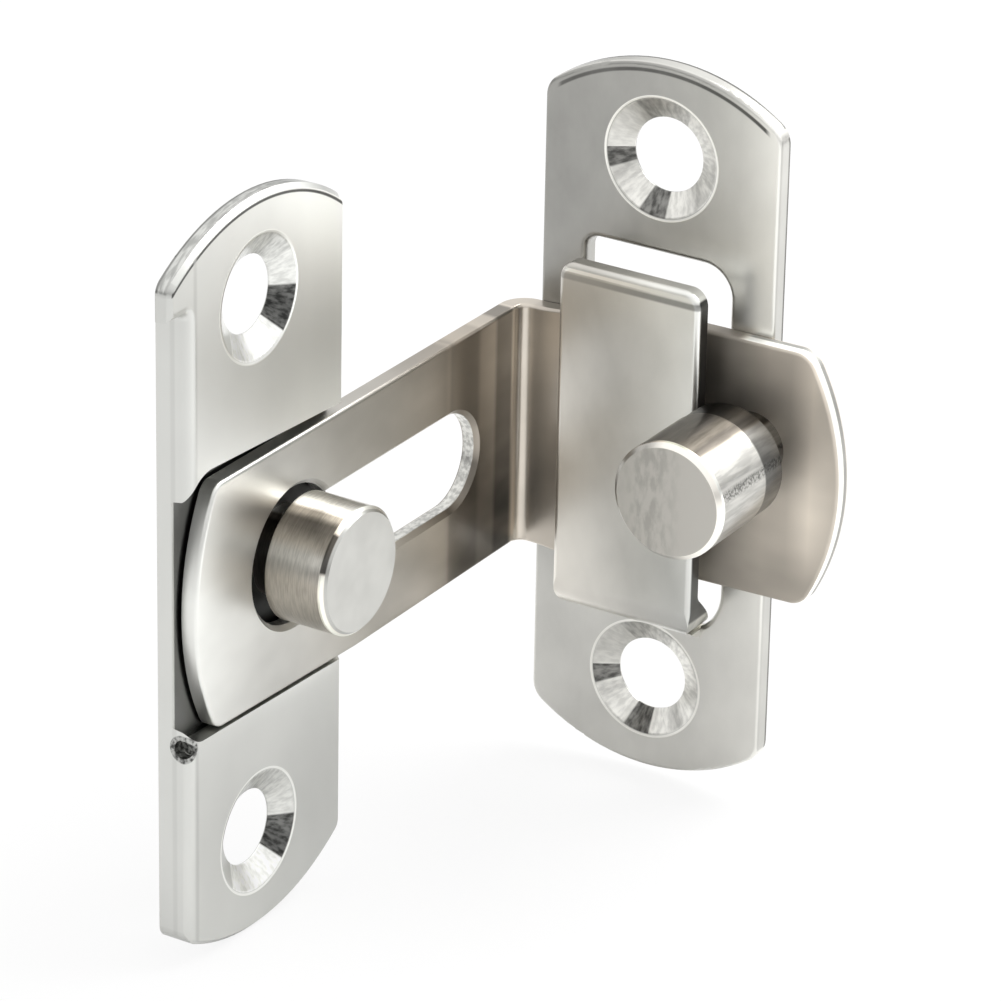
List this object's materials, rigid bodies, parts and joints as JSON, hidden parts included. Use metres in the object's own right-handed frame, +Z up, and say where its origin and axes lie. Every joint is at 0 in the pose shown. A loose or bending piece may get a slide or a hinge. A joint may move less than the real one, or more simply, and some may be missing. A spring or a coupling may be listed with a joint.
{
  "type": "barn door latch",
  "caption": "Right-angle latch for a sliding barn door: a bent arm with a keyhole slot slides behind the tongue of the latch plate and hooks over the headed stud of the strike plate.",
  "frame": {"origin": "centre of the latch plate's back face, midway between its screw holes", "axes": "+Z up along both plates, -Y out of the face of the latch plate, +X out of the face of the strike plate"},
  "size_m": [0.0319, 0.0507, 0.0609],
  "materials": {
    "latch_plate": "satin brushed stainless steel",
    "latch_arm": "satin brushed stainless steel",
    "pull_knob": "satin brushed stainless steel",
    "strike_plate": "satin brushed stainless steel",
    "strike_stud": "satin brushed stainless steel"
  },
  "bodies": {
    "plates": {"latch_plate": "latch_plate", "strike_plate": "strike_plate", "strike_stud": "strike_stud"},
    "arm": {"latch_arm": "latch_arm", "pull_knob": "pull_knob"}
  },
  "joints": [
    {"name": "arm_slide", "type": "slide", "parent": "plates", "child": "arm", "axis": [1, 0, 0], "range_m": [0, 0.0048]}
  ]
}
